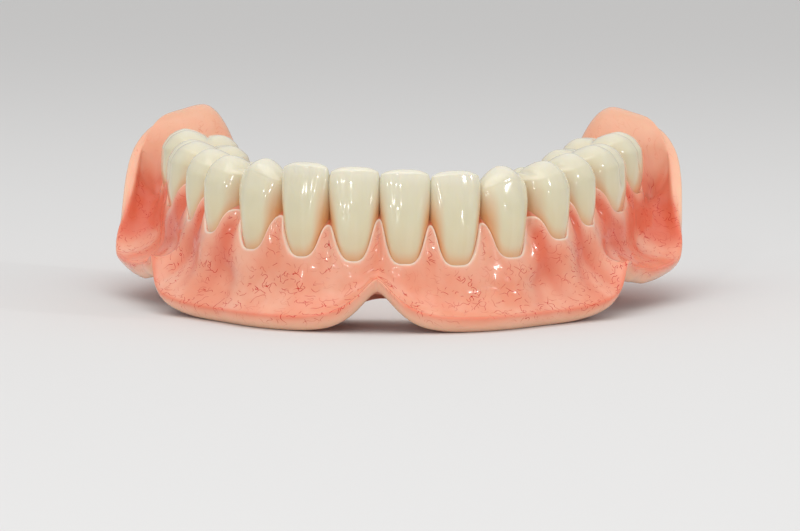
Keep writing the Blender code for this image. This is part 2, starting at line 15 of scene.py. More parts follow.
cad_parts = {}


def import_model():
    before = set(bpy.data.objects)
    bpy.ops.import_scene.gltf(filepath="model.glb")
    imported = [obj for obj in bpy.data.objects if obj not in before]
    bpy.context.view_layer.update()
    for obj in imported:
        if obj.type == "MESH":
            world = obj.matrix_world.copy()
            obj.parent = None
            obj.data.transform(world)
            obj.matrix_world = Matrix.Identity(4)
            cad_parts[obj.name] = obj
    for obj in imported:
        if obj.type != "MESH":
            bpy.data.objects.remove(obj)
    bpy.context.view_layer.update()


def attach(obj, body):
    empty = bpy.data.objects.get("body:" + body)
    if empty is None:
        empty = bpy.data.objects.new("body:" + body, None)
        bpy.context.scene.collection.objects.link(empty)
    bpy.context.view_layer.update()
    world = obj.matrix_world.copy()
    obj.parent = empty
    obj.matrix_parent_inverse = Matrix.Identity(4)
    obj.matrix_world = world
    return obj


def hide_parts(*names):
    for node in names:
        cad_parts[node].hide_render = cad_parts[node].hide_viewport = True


MM_PER_METRE = 1000
TENTHS_PER_METRE = 10000

# Dental arch: the line through the incisal edges and the middle of the back teeth.
ARCH_HALF_WIDTH = 0.0238
ARCH_LENGTH = 0.0385
ARCH_POWER = 3.4
ARCH_FRONT_Y = -0.022727
INCISAL_HEIGHT = 0.0173
MOLAR_RISE = 0.0022
MOLAR_RISE_POWER = 1.6
# The arch is tabulated out to this share of its half width.
ARCH_TABLE_REACH = 1.3
ARCH_TABLE_POINTS = 3000

# How the crowns meet each other and the gum.
CONTACT_GAP = -0.00018
TOOTH_EMBED = 0.0013
# How much of the painted amber reflection of the gum on the front teeth's sides the teeth with several cusps
# show.
BACK_TINT = 0.82

# Gum form around the necks of the teeth. Papillae are listed from the midline back.
GUM_COLLAR = 0.00013
GUM_BULGE = 0.0004
MARGIN_DEPTH = 0.0016
BEAD_DEPTH = 0.00028
BEAD_WIDTH = 0.00014
BACK_PAPILLA_RISES = (0.0034, 0.0036, 0.0035, 0.0032, 0.0028)
PAPILLA_RISES = {
    "right": (0.0047, 0.0037, 0.0041) + BACK_PAPILLA_RISES,
    "left": (0.0047, 0.0043, 0.0042) + BACK_PAPILLA_RISES,
}
PAPILLA_POWER = {"right": 3.1, "left": 3.9}
PAPILLA_STEEPNESS = 1.9
PAPILLA_FRONT = 0.33
INNER_PAPILLA_SHARE = 0.8
COL_SHARE = 1.6
NECK_BLEND_POWER = 2.5
# The power with which two limits of the gum line join without a corner, and lengths that keep 0 out.
SOFT_POWER = 4
TINY = 1e-9
LEAST_GAP = 1e-6
GUM_LINE_STEP = 0.00004
GUM_LINE_BLUR = 0.00012
BLUR_REACH = 4
# The rise of the gum below the margin with the papilla, and the step from its lip to between the teeth.
BELOW_PAPILLA_SHARE = 0.2
LIP_BACK = 0.0008
LIP_SHARE = 0.4

# How far the root bulges stand out, from the central incisor back.
ROOT_BULGES = (0.0002, 0.0003, 0.0006, 0.0006, 0.0006, 0.0004, 0.0002)
INNER_ROOT_SHARE = 0.5
RIDGE_ROUNDING = 0.0006

# Rims, notches and heels of the base.
RIM_RADIUS = 0.0013
RIM_BACK = 0.0014
RIM_INSIDE_BACK = 0.001
RIM_INSIDE_OUT = 0.0012
FLANGE_WALL = 0.0017
FLANGE_LOW_SHARE = 0.3
FLANGE_HIGH_SHARE = 0.66
LOW_HOLLOW_SHARE = 0.8
LIP_NOTCH_HEIGHT = 0.0044
LIP_NOTCH_HALF_WIDTH = 0.0029
CHEEK_NOTCH_HEIGHT = 0.0021
CHEEK_NOTCH_HALF_WIDTH = 0.0016
CHEEK_NOTCH_PLACE = 4.57
TONGUE_NOTCH_HEIGHT = 0.0012
TONGUE_NOTCH_HALF_WIDTH = 0.0034
HEEL_LENGTH = 0.0088
HEEL_TOP = 0.0216
HEEL_THICKNESS = 0.0026
HEEL_ROUNDING = 0.0012
HEEL_EDGE_SHARE = 0.05
HEEL_TIP_LENGTH = 0.0034
HEEL_TIP_SHARE = 0.25
HEEL_OUTER_POWER = 0.55
HEEL_INNER_POWER = 1.9
HEEL_CLIMB_POWER = 3.5
# Where the section changes into that of the heel, from the end of the last tooth.
HEEL_BLEND = (-0.0006, 0.0022)
# The rims turn over to these angles, and the outer one grows slimmer, between these places of the arch.
OUTER_RIM_TILT = 80
OUTER_RIM_TURN = (5.9, 7.0)
INNER_RIM_TILT = 45
INNER_RIM_TURN = (7.2, 8.0)
MOLAR_RIM_SLIMMING = 0.45
MOLAR_SLIMMING = (5.9, 6.7)
# How far the channel underneath follows the rims sideways.
RIDGE_SHIFT = 0.25
BORDER_GROOVE_AT = 0.0022
BORDER_GROOVE_WIDTH = 0.0002
BORDER_GROOVE_DEPTH = 0.00014
SOCKET_COVER = 0.0027

# Fineness of the meshes.
SECTIONS_PER_TOOTH = 40
SECTIONS_PER_HEEL = 24
CROWN_SEGMENTS = 112
CROWN_SIDE_RINGS = 60
CROWN_TOP_RINGS = 26
# How sections crowd at the papillae and the heel's tip, and rings at a crown's shoulder, then the rings of
# its floor as shares of its outline.
PAPILLA_CROWDING = 0.6
HEEL_SPACING_POWER = 1.8
SIDE_RING_POWER = 1.3
TOP_RING_POWER = 1.7
BOTTOM_RING_SHARES = (0.3, 0.7)


class Form(NamedTuple):
    """A family of crowns: its outline at LEVELS, as shares of the tooth's own sizes, and its cusps."""

    wide: tuple
    front: tuple
    back: tuple
    squareness: tuple
    tongue_taper: float
    cusps: tuple
    incline: float
    shoulder: float
    roundness: float
    lobes: tuple


class Cusp(NamedTuple):
    """A high point or ridge of the crown: its middle and half lengths, as shares of the half sizes."""

    along: float
    across: float
    drop: float
    half_along: float = 0.0
    half_across: float = 0.0


class Tooth(NamedTuple):
    """A tooth's sizes: its width, its reach before and behind the tooth line, and its crown's length."""

    name: str
    form: Form
    width: float
    front: float
    back: float
    crown: float
    lean: float


class Groove(NamedTuple):
    """A shallow upright groove in a crown's cheek side, or a ridge where the depth is below 0."""

    along: float
    half_width: float
    depth: float
    low: float
    high: float


# Heights on a crown, as shares from the gum line to the tip.
LEVELS = (-0.16, 0.0, 0.30, 0.60, 0.84, 0.965, 1.0)
CUSP_RADIUS = 0.0008
CUSP_BLEND = 0.00013
FISSURE_DEPTH = 0.00024
FISSURE_WIDTH = 0.00018
# The cusps take effect between these heights, and the fissures between these shares in from the wall.
CUSP_START = (0.5, 1.0)
FISSURE_START = (0.06, 0.3)
# A lobe's groove fades in and out over these heights from its ends, and towards the sides of the crown.
LOBE_FADE_IN = (-0.15, 0.1)
LOBE_FADE_OUT = 0.08
LOBE_SIDE_POWER = 0.5

INCISOR = Form(
    wide=(0.64, 0.73, 0.88, 0.98, 1.00, 0.91, 0.80),
    front=(0.74, 0.88, 1.00, 0.87, 0.60, 0.38, 0.30),
    back=(0.88, 1.00, 0.84, 0.54, 0.28, 0.16, 0.12),
    squareness=(2.3, 2.3, 2.3, 2.4, 2.5, 2.6, 2.6),
    tongue_taper=0.22,
    cusps=(Cusp(0.0, 0.0, 0.0, half_along=0.42, half_across=2.0),),
    incline=13,
    shoulder=0.960,
    roundness=0.6,
    lobes=(Groove(-0.34, 0.15, 0.00007, 0.45, 0.95), Groove(0.34, 0.15, 0.00007, 0.45, 0.95)),
)
CANINE = Form(
    wide=(0.64, 0.72, 0.86, 0.97, 1.00, 0.86, 0.74),
    front=(0.74, 0.88, 1.00, 0.92, 0.70, 0.46, 0.34),
    back=(0.88, 1.00, 0.88, 0.62, 0.40, 0.26, 0.18),
    squareness=(2.2, 2.2, 2.2, 2.3, 2.4, 2.4, 2.4),
    tongue_taper=0.26,
    cusps=(Cusp(0.12, 0.0, 0.0, half_across=2.0),),
    incline=27,
    shoulder=0.885,
    roundness=0.72,
    lobes=(Groove(0.06, 0.22, -0.00012, 0.30, 0.98), Groove(0.55, 0.14, 0.00006, 0.40, 0.95)),
)
PREMOLAR = Form(
    wide=(0.70, 0.80, 0.92, 1.00, 0.97, 0.80, 0.66),
    front=(0.76, 0.88, 0.99, 1.00, 0.88, 0.64, 0.50),
    back=(0.76, 0.88, 0.98, 1.00, 0.90, 0.70, 0.56),
    squareness=(2.2, 2.2, 2.3, 2.4, 2.4, 2.4, 2.4),
    tongue_taper=0.16,
    cusps=(
        Cusp(-0.03, 0.90, 0.0),
        Cusp(-0.10, -0.90, 0.0008),
        Cusp(-1.08, 0.10, 0.0010, half_across=0.55),
        Cusp(1.08, 0.10, 0.0011, half_across=0.55),
    ),
    incline=27,
    shoulder=0.865,
    roundness=0.85,
    lobes=(Groove(0.0, 0.22, -0.00014, 0.35, 0.98), Groove(-0.52, 0.12, 0.00005, 0.45, 0.9)),
)
MOLAR = Form(
    wide=(0.80, 0.86, 0.94, 1.00, 0.97, 0.84, 0.72),
    front=(0.78, 0.88, 0.98, 1.00, 0.88, 0.66, 0.54),
    back=(0.78, 0.88, 0.98, 1.00, 0.90, 0.70, 0.58),
    squareness=(2.4, 2.5, 2.7, 2.8, 2.7, 2.6, 2.5),
    tongue_taper=0.06,
    cusps=(
        Cusp(-0.62, 0.92, 0.0),
        Cusp(0.34, 0.95, 0.0001),
        Cusp(-0.56, -0.92, 0.0002),
        Cusp(0.52, -0.92, 0.0004),
        Cusp(-1.06, 0.0, 0.0011, half_across=0.50),
        Cusp(1.06, 0.0, 0.0012, half_across=0.50),
    ),
    incline=24,
    shoulder=0.875,
    roundness=0.85,
    lobes=(Groove(-0.14, 0.09, 0.00030, 0.38, 1.0), Groove(0.62, 0.09, 0.00018, 0.5, 1.0)),
)

# The teeth of one side, from the midline back. Lean is in degrees, positive where the tip stands forward.
TEETH = (
    Tooth("central_incisor", INCISOR, 0.0054, 0.0024, 0.0036, 0.0101, 6),
    Tooth("lateral_incisor", INCISOR, 0.0057, 0.0025, 0.0037, 0.0101, 5),
    Tooth("canine", CANINE, 0.0066, 0.0031, 0.0040, 0.0098, 3),
    Tooth("first_premolar", PREMOLAR, 0.0070, 0.0038, 0.0036, 0.0086, -2),
    Tooth("second_premolar", PREMOLAR, 0.0071, 0.0040, 0.0038, 0.0081, -4),
    Tooth("first_molar", MOLAR, 0.0107, 0.0049, 0.0047, 0.0078, -6),
    Tooth("second_molar", MOLAR, 0.0100, 0.0048, 0.0046, 0.0072, -7),
)

# The small irregularities that the setter gave each side, from the midline back: how far each tooth stands
# above the even line, and its turn about its own length in degrees.
SETTINGS = {
    "right": ((0.00012, 2), (0.0004, -3), (0.00035, 6), (0.0002, 2), (0.0001, 0), (5e-5, 0), (0, 0)),
    "left": ((-0.00012, -1), (-0.0004, 2), (-0.00025, -3), (-0.00015, 0), (-0.0001, 0), (-5e-5, 0), (0, 0)),
}
SIDE_SIGN = {"right": -1, "left": 1}


class Station(NamedTuple):
    """One section of the base. Reaches are from the tooth line, and heights are above the floor."""

    place: float  # 1 is the far side of the first tooth, 7 of the last, 8 the end of the heel
    outer_reach: float
    outer_rim: float
    outer_hollow: float
    inner_reach: float
    inner_rim: float
    inner_hollow: float
    ridge_half_width: float


# The sections from the midline back: the place, then the other columns in tenths of a millimetre.
STATION_ROWS = (
    (0.0, 30, 0, 6, 60, 14, 4, 20),
    (1.5, 31, 0, 6, 62, 13, 6, 20),
    (2.6, 35, 0, 7, 68, 12, 8, 21),
    (3.3, 50, 1, 8, 72, 11, 9, 23),
    (4.0, 70, 11, 10, 76, 9, 10, 26),
    (4.6, 70, 25, 11, 78, 7, 11, 28),
    (5.0, 74, 32, 12, 79, 5, 12, 29),
    (5.3, 82, 28, 14, 80, 4, 12, 30),
    (5.9, 94, 33, 18, 82, 1, 12, 31),
    (6.4, 101, 65, 15, 82, 0, 12, 32),
    (6.8, 96, 112, 8, 79, 6, 11, 32),
    (7.2, 85, 158, 3, 58, 45, 9, 28),
    (7.6, 57, 188, 0, 40, 115, 5, 18),
    (8.0, 26, 192, 0, 24, 162, 0, 8),
)
STATIONS = [Station(place, *(size / TENTHS_PER_METRE for size in sizes)) for place, *sizes in STATION_ROWS]

# Where the base is coloured, painted light and shade among it. Pairs are a start and an end, as places of
# the arch or in mm below the margin.
GROOVE_END = (5.6, 6.4)
# Painted shade: the gum is darker red in the valleys between the root bulges and in the hollow beside the
# molars.
VALLEY_TOP_MM = (0.3, 2.0)
VALLEY_FOOT_MM = (4.5, 9.0)
VALLEY_START = (2.2, 3.2)
VALLEY_END = (7.0, 7.6)
VALLEY_ROOT_SHARE = 0.5
MOLAR_SHADE = 0.9
MOLAR_SHADE_PLACE = 6.1
MOLAR_SHADE_HALF_LENGTH = 1.1
MOLAR_SHADE_BELOW_MM = 2.5
MOLAR_SHADE_HALF_DEPTH_MM = 3.0
HEEL_COLOUR_START = (6.7, 7.6)
# The width of the painted bounce light on the rolled border, and how much of it the heels lose.
BORDER_WIDTH = 0.0016
HEEL_BORDER_LOSS = 0.75
# How closely the painted shade between the teeth keeps to their contacts.
RECESS_POWER = 6
# The width in mm of the painted highlight along the gum margins.
MARGIN_WIDTH_MM = 0.9
# The painted glint line along the margin: its half width in mm, and where along the arch it fades out.
EDGE_WIDTH_MM = 0.15
EDGE_END = (4, 6)
# The upper skin's control points where its outer half ends, and between which the floor of the teeth lies.
OUTER_HALF_END = 8
TEETH_FLOOR = (6, 10)

# How many mesh points follow each control point of a section, over the top and back underneath.
OVER_COUNTS = (8, 9, 9, 9, 9, 5, 6, 6, 6, 6, 5, 8, 8, 8, 8, 8, 6)
UNDER_COUNTS = (7, 5, 5, 7, 6)
# The point of the upper skin that each point of the lower skin lies under, rim to rim.
FACING = (16, 15, 11, 8, 5, 1, 0)

# Camera of the photograph, fitted to it.
CAMERA_PLACE = (0.02201, -0.34100, 0.04129)
CAMERA_AZIMUTH = 3.561
CAMERA_ELEVATION = 6.156
CAMERA_ROLL = 0.202
CAMERA_LENS = 135
CAMERA_SENSOR = 36


def smooth_curve(places, values, at):
    """A smooth curve through (places, values) that never overshoots them, read at the places in at."""
    places, values, at = (np.asarray(a, float) for a in (places, values, at))
    steps = np.diff(places)
    slopes = np.diff(values) / steps
    before, after = slopes[:-1], slopes[1:]
    same_way = before * after > 0
    total = np.where(same_way, before + after, 1.0)
    inner = np.where(same_way, 2 * before * after / total, 0.0)
    tangents = np.concatenate([[slopes[0]], inner, [slopes[-1]]])
    k = np.clip(np.searchsorted(places, at) - 1, 0, len(steps) - 1)
    t = np.clip((at - places[k]) / steps[k], 0, 1)
    return (
        values[k] * (1 + 2 * t) * (1 - t) ** 2
        + tangents[k] * steps[k] * t * (1 - t) ** 2
        + values[k + 1] * t**2 * (3 - 2 * t)
        + tangents[k + 1] * steps[k] * t**2 * (t - 1)
    )


def bump(distance, half_width, power=1.5):
    """A smooth peak of height 1 at distance 0."""
    return np.exp(-np.abs(distance / half_width) ** power)


def step_up(value, low, high):
    """0 below low, 1 above high, and smooth between them."""
    t = np.clip((value - low) / (high - low), 0, 1)
    return t * t * (3 - 2 * t)


def right_of(ahead):
    """Unit vectors in the plane, square to these and to the right of them."""
    ahead = ahead / np.linalg.norm(ahead, axis=-1, keepdims=True)
    return np.stack([ahead[..., 1], -ahead[..., 0]], axis=-1)


class Arch:
    """The tooth line in plan, measured by the distance along it from the midline."""

    def __init__(self):
        reach = ARCH_HALF_WIDTH * ARCH_TABLE_REACH
        self.x = np.linspace(0, reach, ARCH_TABLE_POINTS)
        self.y = ARCH_LENGTH * (self.x / ARCH_HALF_WIDTH) ** ARCH_POWER
        steps = np.hypot(np.diff(self.x), np.diff(self.y))
        self.along = np.concatenate([[0], np.cumsum(steps)])
        self.bounds = np.cumsum([0] + [tooth.width for tooth in TEETH])
        self.end = self.bounds[-1] + HEEL_LENGTH
        self.marks = np.append(self.bounds, self.end)

    def point(self, along):
        """Plan points at signed distances along the arch, positive on the wearer's left."""
        far = np.abs(along)
        x = np.interp(far, self.along, self.x) * np.sign(along)
        return np.stack([x, ARCH_FRONT_Y + np.interp(far, self.along, self.y)], axis=-1)

    def outward(self, along):
        """Unit vectors in plan that point away from the tongue."""
        probe = 0.0003
        return right_of(self.point(along + probe) - self.point(along - probe))

    def place(self, along):
        """Distance along the arch as a count of teeth from the midline; the heel ends at 8."""
        return np.interp(np.abs(along), self.marks, np.arange(len(self.marks)))


ARCH = Arch()


class Seat(NamedTuple):
    """Where one tooth stands: the point under its tip on the tooth line, and how it is turned."""

    tooth: Tooth
    side: str
    x: float
    y: float
    tip: float
    heading: float
    turn: float
    width: float
    inset: float
    neck: float
    middle: float


def occlusal_height(along):
    """Height of the biting line, which rises towards the last molar."""
    share = np.clip(np.abs(along) / ARCH.bounds[-1], 0, 1)
    return INCISAL_HEIGHT + MOLAR_RISE * share**MOLAR_RISE_POWER


def seat_of(index, side):
    """The seat of one tooth, counted from the midline back."""
    tooth, sign = TEETH[index], SIDE_SIGN[side]
    rise, turn = SETTINGS[side][index]
    near, far = ARCH.point(sign * ARCH.bounds[index : index + 2])
    middle, chord = (near + far) / 2, (far - near) * sign
    centre_line = ARCH.point(sign * (ARCH.bounds[index] + ARCH.bounds[index + 1]) / 2)
    along = float(ARCH.bounds[index] + tooth.width / 2)
    tip = float(occlusal_height(along)) + rise
    return Seat(
        tooth=tooth,
        side=side,
        x=float(middle[0]),
        y=float(middle[1]),
        tip=tip,
        heading=math.atan2(chord[1], chord[0]) + math.radians(turn),
        turn=math.radians(turn),
        width=float(np.linalg.norm(chord)) - CONTACT_GAP,
        inset=float(np.linalg.norm(centre_line - middle)),
        neck=tip - tooth.crown * math.cos(math.radians(tooth.lean)),
        middle=along,
    )


SEATS = {side: [seat_of(i, side) for i in range(len(TEETH))] for side in SIDE_SIGN}


def outline_share(form, level, u_share, side):
    """How far out the crown's wall stands at a share of its half width, as a share of its reach."""
    power = smooth_curve(LEVELS, form.squareness, level)
    narrow = 1 - form.tongue_taper * (side < 0)
    x = np.clip(np.abs(u_share) / narrow, 0, 1)
    return (1 - x**power) ** (1 / power)


def gum_line():
    """The gum's margins, their heights and the bulges of the roots, at even steps along the arch."""
    step = GUM_LINE_STEP
    along = np.arange(-ARCH.end, ARCH.end + step, step)
    place = ARCH.place(along)
    keys = ("outer", "inner", "outer_z", "inner_z", "col_z", "neck", "root", "rise")
    values = {key: np.zeros_like(along) for key in keys}
    for side, other in (("right", "left"), ("left", "right")):
        seats = SEATS[side]
        sign = SIDE_SIGN[side]
        mine = (along < 0) if side == "right" else (along >= 0)
        for i, seat in enumerate(seats):
            near = seats[i - 1] if i else SEATS[other][0]
            far = seats[min(i + 1, len(seats) - 1)]
            last = i + 1 == len(seats)
            here = mine & (place >= i) & ((place < i + 1) | last)
            t = np.clip((place[here] - i) * 2 - 1, -1, 1)
            other_neck = np.where(t < 0, near.neck, far.neck)
            neck = seat.neck + (other_neck - seat.neck) / 2 * np.abs(t) ** NECK_BLEND_POWER
            tips = np.where(t < 0, PAPILLA_RISES[side][i], PAPILLA_RISES[side][i + 1])
            climb = PAPILLA_STEEPNESS * tips * np.abs(t) ** PAPILLA_POWER[side] + TINY
            rise = (climb**-SOFT_POWER + tips**-SOFT_POWER) ** (-1 / SOFT_POWER)
            form, tooth = seat.tooth.form, seat.tooth
            for key, facing, share in (("outer", 1, 1.0), ("inner", -1, INNER_PAPILLA_SHARE)):
                height = rise * share
                level = height / tooth.crown
                size, shape = (tooth.front, form.front) if facing > 0 else (tooth.back, form.back)
                reach = size * smooth_curve(LEVELS, shape, level)
                half = seat.width / 2 * smooth_curve(LEVELS, form.wide, level)
                offset = t * tooth.width / 2
                wall = outline_share(form, level, offset / half, facing)
                wall = (wall**SOFT_POWER + PAPILLA_FRONT**SOFT_POWER) ** (1 / SOFT_POWER)
                slip = -(tooth.crown - height) * math.sin(math.radians(tooth.lean))
                slip = slip - seat.inset * (1 - t**2) - offset * math.sin(seat.turn) * sign
                values[key][here] = slip + facing * reach * wall
                values[key + "_z"][here] = neck + height
            values["neck"][here] = neck
            values["col_z"][here] = neck + rise * COL_SHARE
            values["rise"][here] = rise
            beside = ROOT_BULGES[max(i - 1, 0)], ROOT_BULGES[min(i + 1, len(seats) - 1)]
            dip = -(ROOT_BULGES[i] + np.where(t < 0, *beside)) / 4
            values["root"][here] = dip + (ROOT_BULGES[i] / 2 - dip) * (1 + np.cos(math.pi * t)) / 2
    reach = int(BLUR_REACH * GUM_LINE_BLUR / step)
    kernel = np.exp(-0.5 * (np.arange(-reach, reach + 1) * step / GUM_LINE_BLUR) ** 2)
    kernel /= kernel.sum()
    for key, line in values.items():
        padded = np.pad(line, reach, mode="edge")
        values[key] = np.convolve(padded, kernel, mode="valid")
    halfway = (ARCH.bounds[:-1] + ARCH.bounds[1:]) / 2
    middles = np.concatenate([-halfway[::-1], halfway])
    for key in ("outer", "inner"):
        at_middles = np.interp(middles, along, values[key])
        values[key + "_wall"] = smooth_curve(middles, at_middles, np.clip(along, middles[0], middles[-1]))
    return along, values


GUM_ALONG, GUM_LINE = gum_line()


def between(t, start, finish, a, b):
    """The point that lies between a and b as t lies between start and finish."""
    return (finish - t) / (finish - start) * a + (t - start) / (finish - start) * b


def through(points, counts):
    """Closed smooth curves through the points of each section, shaped (sections, points, 2)."""
    total = points.shape[1]
    pieces = []
    for k in range(total):
        p = [points[:, (k + j) % total] for j in (-1, 0, 1, 2)]
        knots = [np.zeros((len(points), 1))]
        for near, far in zip(p, p[1:]):
            knots.append(knots[-1] + np.sqrt(np.linalg.norm(far - near, axis=1, keepdims=True)) + LEAST_GAP)
        k0, k1, k2, k3 = knots
        for step in range(counts[k]):
            t = k1 + (k2 - k1) * step / counts[k]
            a1 = between(t, k0, k1, p[0], p[1])
            a2 = between(t, k1, k2, p[1], p[2])
            a3 = between(t, k2, k3, p[2], p[3])
            b1, b2 = between(t, k0, k2, a1, a2), between(t, k1, k3, a2, a3)
            pieces.append(between(t, k1, k2, b1, b2))
    return np.stack(pieces, axis=1)


def station_values(along):
    """Every column of STATIONS, read smoothly at distances along the arch."""
    places = [-s.place for s in reversed(STATIONS[1:])] + [s.place for s in STATIONS]
    at = ARCH.place(along)
    columns = {}
    for column in Station._fields[1:]:
        values = [getattr(s, column) for s in STATIONS]
        columns[column] = smooth_curve(places, values[:0:-1] + values, at)
    return columns


def section_points(along):
    """The control points of the base's sections, outer rim first, over the top and back underneath."""
    v = station_values(along)
    gum = {key: np.interp(along, GUM_ALONG, values) for key, values in GUM_LINE.items()}
    far = np.abs(along)
    place = ARCH.place(along)
    cheek = np.interp(CHEEK_NOTCH_PLACE, np.arange(len(ARCH.marks)), ARCH.marks)
    outer_rim = (
        v["outer_rim"]
        + LIP_NOTCH_HEIGHT * bump(far, LIP_NOTCH_HALF_WIDTH)
        + CHEEK_NOTCH_HEIGHT * bump(far - cheek, CHEEK_NOTCH_HALF_WIDTH, 2)
    )
    inner_rim = v["inner_rim"] + TONGUE_NOTCH_HEIGHT * bump(far, TONGUE_NOTCH_HALF_WIDTH, 2)
    behind = step_up(place, *MOLAR_SLIMMING)
    tilt_out = math.radians(OUTER_RIM_TILT) * step_up(place, *OUTER_RIM_TURN)
    tilt_in = math.radians(INNER_RIM_TILT) * step_up(place, *INNER_RIM_TURN)

    def beside_rim(n, z, tilt, side, back, out):
        """A point that lies back from the rim's edge and out from the middle of its thickness."""
        return (
            n - side * (np.sin(tilt) * back - np.cos(tilt) * out),
            z + np.cos(tilt) * back + np.sin(tilt) * out,
        )

    rim_out, rim_in = v["outer_reach"], -v["inner_reach"]
    rims = (rim_out, outer_rim, tilt_out, 1), (rim_in, inner_rim, tilt_in, -1)
    radii = RIM_RADIUS * (1 - MOLAR_RIM_SLIMMING * behind), RIM_RADIUS
    low_out, low_in = (beside_rim(*rim, RIM_BACK, radius) for rim, radius in zip(rims, radii))

    root = gum["root"]
    outer, inner = gum["outer"] + GUM_COLLAR, gum["inner"] - GUM_COLLAR
    outer_z, inner_z, col_z = gum["outer_z"], gum["inner_z"], gum["col_z"]
    below_z = gum["neck"] - MARGIN_DEPTH + gum["rise"] * BELOW_PAPILLA_SHARE
    below_out = (gum["outer_wall"] + GUM_BULGE + root, below_z)
    below_in = (gum["inner_wall"] - GUM_BULGE - root * INNER_ROOT_SHARE, below_z)

    def flange(low, high, share, hollow, side):
        """A point of the wall between the rim and the gum edge, hollowed square to their line."""
        dn, dz = high[0] - low[0], high[1] - low[1]
        length = np.hypot(dn, dz) + LEAST_GAP
        n = low[0] + dn * share - side * dz / length * hollow
        return n + side * root * share, low[1] + dz * share + side * dn / length * hollow

    end = np.clip((ARCH.end - far) / HEEL_LENGTH, 0, 1)
    top = HEEL_TOP - (HEEL_TOP - gum["neck"]) * end**HEEL_CLIMB_POWER

    def dome(share):
        """A point of the mound over the heel, from the outer rim, share 0, to the inner one, share 1."""
        angle = math.pi * share
        middle, half = (low_out[0] + low_in[0]) / 2, (low_out[0] - low_in[0]) / 2
        side_z = low_out[1] + (low_in[1] - low_out[1]) * (1 - math.cos(angle)) / 2
        power = HEEL_OUTER_POWER + (HEEL_INNER_POWER - HEEL_OUTER_POWER) * share
        height = (top - side_z) * math.sin(angle) ** power
        return middle + half * math.cos(angle), side_z + height

    def wall(low, below, hollow, side):
        """The points of one side from beside its rim up to below its gum edge."""
        foot = flange(low, below, FLANGE_LOW_SHARE, LOW_HOLLOW_SHARE * hollow, side)
        return [low, foot, flange(low, below, FLANGE_HIGH_SHARE, hollow, side), below]

    def lip(n, z, side):
        """The points of one side's gum edge, from its bead to behind its lip."""
        behind_z = z + (col_z - z) * LIP_SHARE - BEAD_DEPTH / 2
        bead = (n + side * BEAD_WIDTH, z - BEAD_DEPTH)
        return [bead, (n - side * BEAD_WIDTH / 2, z), (n - side * LIP_BACK, behind_z)]

    over = [
        (rim_out, outer_rim),
        *wall(low_out, below_out, v["outer_hollow"], 1),
        *lip(outer, outer_z, 1),
        ((outer + inner) / 2, col_z),
        *lip(inner, inner_z, -1)[::-1],
        *wall(low_in, below_in, v["inner_hollow"], -1)[::-1],
        (rim_in, inner_rim),
    ]
    heel = step_up(far - ARCH.bounds[-1], *HEEL_BLEND)
    last = len(over) - 2
    for k in range(2, last):
        n, z = dome((k - 1) / (last - 1))
        over[k] = (over[k][0] * (1 - heel) + n * heel, over[k][1] * (1 - heel) + z * heel)

    crest = (gum["neck"] - SOCKET_COVER) * (1 - heel) + (top - HEEL_THICKNESS) * heel
    inside_out, inside_in = (beside_rim(*rim, RIM_INSIDE_BACK, -RIM_INSIDE_OUT) for rim in rims)
    ridge, shoulder = v["ridge_half_width"], crest - RIDGE_ROUNDING
    shift = (rim_out + rim_in) * RIDGE_SHIFT
    roof = shoulder * (1 - behind) + (over[2][1] - FLANGE_WALL) * behind
    under = [
        (inside_in[0], np.minimum(inside_in[1], shoulder)),
        (shift - ridge, shoulder),
        (shift, crest),
        (shift + ridge, shoulder),
        (inside_out[0], np.minimum(inside_out[1], roof)),
    ]
    over, under = (np.stack([np.stack(p, axis=-1) for p in part], axis=1) for part in (over, under))
    return over, under, gum


def rounded_at_heels(over, under, along):
    """Narrows the last stretch of each heel to a round tip, and draws its two skins together there."""

    def round_off(length, least):
        left = np.clip((ARCH.end - np.abs(along)) / length, 0, 1)
        return np.sqrt(1 - (1 - left) ** 2).clip(least, 1)[:, None, None]

    narrow = round_off(HEEL_TIP_LENGTH, HEEL_TIP_SHARE)
    core = (over[:, over.shape[1] // 2] + under[:, under.shape[1] // 2])[:, None] / 2
    over, under = core + (over - core) * narrow, core + (under - core) * narrow
    keep = round_off(HEEL_ROUNDING, HEEL_EDGE_SHARE)
    faced = np.array(FACING[::-1])
    lower = np.concatenate([over[:, -1:], under, over[:, :1]], axis=1)[:, ::-1]
    places = np.arange(over.shape[1])
    k = np.clip(np.searchsorted(faced, places, side="right") - 1, 0, len(faced) - 2)
    low, high = faced[k], faced[k + 1]
    part = ((places - low) / (high - low))[None, :, None]
    opposite = lower[:, k] * (1 - part) + lower[:, k + 1] * part
    middle = (over + opposite) / 2
    under_middle = (under + over[:, FACING[1:-1]]) / 2
    return middle + (over - middle) * keep, under_middle + (under - under_middle) * keep


def section_places():
    """Distances along the arch at which the base has a section, closer together at the papillae."""
    even = np.arange(SECTIONS_PER_TOOTH) / SECTIONS_PER_TOOTH
    share = even - PAPILLA_CROWDING * np.sin(2 * math.pi * even) / (2 * math.pi)
    starts, widths = ARCH.bounds[:-1], np.diff(ARCH.bounds)
    teeth = (starts[:, None] + share * widths[:, None]).ravel()
    heel = 1 - (1 - np.linspace(0, 1, SECTIONS_PER_HEEL)) ** HEEL_SPACING_POWER
    half = np.concatenate([teeth, ARCH.bounds[-1] + heel * HEEL_LENGTH])
    return np.concatenate([-half[:0:-1], half])


def ladder(ring, split):
    """Faces that close a flat ring of points between its first stretch, up to split, and the rest."""
    there, back = list(ring[: split + 1]), list(ring[split + 1 :][::-1])
    faces = []
    i = j = 0
    while i < len(there) - 1 or j < len(back) - 1:
        if j == len(back) - 1 or (i < len(there) - 1 and i * len(back) <= j * len(there)):
            faces.append((there[i + 1], there[i], back[j]))
            i += 1
        else:
            faces.append((back[j], back[j + 1], there[i]))
            j += 1
    return faces


def placed(name, data):
    """A new object in the scene."""
    obj = bpy.data.objects.new(name, data)
    bpy.context.scene.collection.objects.link(obj)
    return obj


